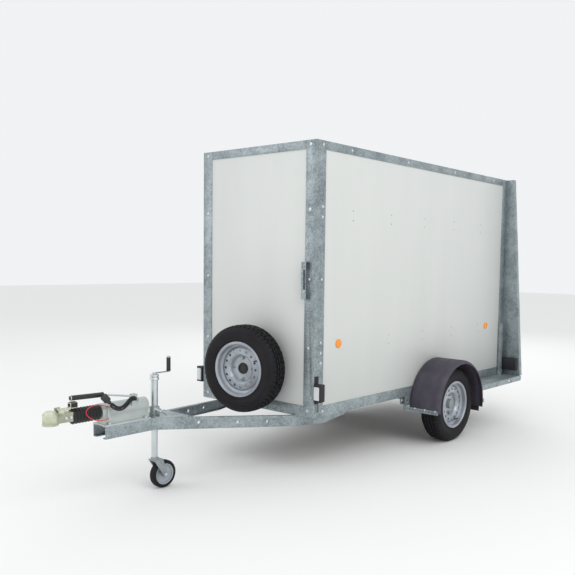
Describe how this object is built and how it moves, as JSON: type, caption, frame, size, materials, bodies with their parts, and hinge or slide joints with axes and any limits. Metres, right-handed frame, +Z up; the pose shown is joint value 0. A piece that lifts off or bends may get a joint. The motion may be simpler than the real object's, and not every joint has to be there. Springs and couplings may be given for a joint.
{
  "type": "livestock trailer",
  "caption": "Box-bodied livestock trailer with white panels in a galvanised frame, an overrun coupling, a jockey wheel, a spare wheel and a rear ramp.",
  "frame": {"origin": "on the ground under the middle of the trailer's length and width", "axes": "+X to the side that carries the grab handle, +Y to the rear ramp, +Z up"},
  "size_m": [1.616, 4.2165, 2.155],
  "materials": {
    "galvanised": "hot-dip galvanised, mottled spangle",
    "panel": "smooth white film on plywood",
    "deck": "brown film-faced plywood",
    "guard": "grained grey plastic",
    "black_rubber": "matte black",
    "tyre": "black rubber",
    "silver": "silver lacquer",
    "black_plastic": "moulded black",
    "red_lens": "clear red",
    "orange_lens": "orange prismatic reflector",
    "zinc": "pale yellow zinc",
    "bright_zinc": "bright zinc",
    "housing_steel": "galvanised cast housing",
    "spring_steel": "black painted spring steel",
    "red_cover": "red plastic sheath",
    "hub_iron": "cast, dull zinc"
  },
  "bodies": {
    "chassis": {"side_rails": "galvanised", "cross_members": "galvanised", "drawbar_left": "galvanised", "drawbar_right": "galvanised", "drawbar_gusset": "galvanised", "floor_deck": "deck", "front_panel": "panel", "left_panel": "panel", "right_panel": "panel", "roof_panel": "panel", "front_posts": "galvanised", "rear_posts": "galvanised", "roof_rails": "galvanised", "wing_plates": "galvanised", "rear_platforms": "galvanised", "bump_rubbers": "black_rubber", "body_bolts": "bright_zinc", "panel_screws": "bright_zinc", "grab_handle": "galvanised", "mudguards": "guard", "mudguard_stays": "galvanised", "mudflaps": "black_rubber", "spring_hangers": "galvanised", "rear_lamps": "black_plastic", "lamp_lenses": "red_lens", "side_reflectors": "orange_lens", "marker_lamps": "black_rubber", "lamp_leads": "black_rubber", "spare_carrier": "galvanised", "spare_rim": "silver", "spare_tyre": "tyre", "coupling_housing": "housing_steel", "curly_cable": "black_rubber", "trailer_plug": "black_plastic", "breakaway_cable": "red_cover", "jockey_tube": "bright_zinc", "jockey_clamp": "galvanised"},
    "axle": {"axle_beam": "galvanised", "leaf_springs": "spring_steel"},
    "wheel_left": {"hub_left": "hub_iron", "rim_left": "silver", "tyre_left": "tyre"},
    "wheel_right": {"hub_right": "hub_iron", "rim_right": "silver", "tyre_right": "tyre"},
    "coupling_head": {"coupling_head": "zinc", "gaiter": "black_rubber"},
    "head_handle": {"head_handle": "zinc"},
    "handbrake": {"handbrake_lever": "bright_zinc"},
    "jockey_leg": {"jockey_leg": "bright_zinc"},
    "jockey_fork": {"jockey_fork": "galvanised"},
    "jockey_wheel": {"jockey_wheel": "silver"},
    "jockey_crank": {"jockey_crank": "bright_zinc"},
    "clamp_lever": {"clamp_lever": "bright_zinc"},
    "ramp": {"ramp_panel": "panel", "ramp_frame": "galvanised"},
    "catch_left": {"catch_left": "bright_zinc"},
    "catch_right": {"catch_right": "bright_zinc"},
    "prop_left": {"prop_left": "galvanised"},
    "prop_right": {"prop_right": "galvanised"}
  },
  "joints": [
    {"name": "axle_bounce", "type": "slide", "parent": "chassis", "child": "axle", "axis": [0, 0, 1], "range_m": [0, 0.05], "stiffness_N_per_m": 60000, "springref_m": -0.1, "deforming": ["leaf_springs"]},
    {"name": "left_wheel_spin", "type": "hinge", "parent": "axle", "child": "wheel_left", "pos_m": [-0.669, 0.885, 0.29], "axis": [1, 0, 0], "continuous": true},
    {"name": "right_wheel_spin", "type": "hinge", "parent": "axle", "child": "wheel_right", "pos_m": [0.669, 0.885, 0.29], "axis": [1, 0, 0], "continuous": true},
    {"name": "head_overrun", "type": "slide", "parent": "chassis", "child": "coupling_head", "axis": [0, 1, 0], "range_m": [0, 0.08], "stiffness_N_per_m": 6000, "springref_m": -0.03, "deforming": ["gaiter"]},
    {"name": "head_handle_lift", "type": "hinge", "parent": "coupling_head", "child": "head_handle", "pos_m": [0, -2.015, 0.579], "axis": [1, 0, 0], "range_deg": [0, 25], "stiffness_Nm_per_rad": 3, "springref_deg": -11.46},
    {"name": "handbrake_pull", "type": "hinge", "parent": "chassis", "child": "handbrake", "pos_m": [0.034, -1.575, 0.598], "axis": [-1, 0, 0], "range_deg": [0, 70]},
    {"name": "jockey_crank_turn", "type": "hinge", "parent": "chassis", "child": "jockey_crank", "pos_m": [0, -1.405, 0.703], "axis": [0, 0, 1], "range_deg": [0, 5400]},
    {"name": "jockey_raise", "type": "slide", "parent": "chassis", "child": "jockey_leg", "axis": [0, 0, 1], "range_m": [0, 0.12]},
    {"name": "jockey_swivel", "type": "hinge", "parent": "jockey_leg", "child": "jockey_fork", "pos_m": [0, -1.405, 0.198], "axis": [0, 0, 1], "continuous": true},
    {"name": "jockey_wheel_spin", "type": "hinge", "parent": "jockey_fork", "child": "jockey_wheel", "pos_m": [0, -1.345, 0.085], "axis": [1, 0, 0], "continuous": true},
    {"name": "clamp_turn", "type": "hinge", "parent": "chassis", "child": "clamp_lever", "pos_m": [0.048, -1.405, 0.486], "axis": [1, 0, 0], "range_deg": [0, 35]},
    {"name": "ramp_hinge", "type": "hinge", "parent": "chassis", "child": "ramp", "pos_m": [0, 2.087, 0.41], "axis": [-1, 0, 0], "range_deg": [0, 103]},
    {"name": "left_catch_turn", "type": "hinge", "parent": "ramp", "child": "catch_left", "pos_m": [-0.509, 2.105, 1.2675], "axis": [0, -1, 0], "range_deg": [0, 90]},
    {"name": "right_catch_turn", "type": "hinge", "parent": "ramp", "child": "catch_right", "pos_m": [0.509, 2.105, 1.2675], "axis": [0, 1, 0], "range_deg": [0, 90]},
    {"name": "left_prop_drop", "type": "slide", "parent": "chassis", "child": "prop_left", "axis": [0, 0, -1], "range_m": [0, 0.335]},
    {"name": "right_prop_drop", "type": "slide", "parent": "chassis", "child": "prop_right", "axis": [0, 0, -1], "range_m": [0, 0.335]}
  ],
  "couplings": [
    {"joint": "jockey_raise", "follows": "jockey_crank_turn", "m_per_rad": 0.0012732}
  ]
}
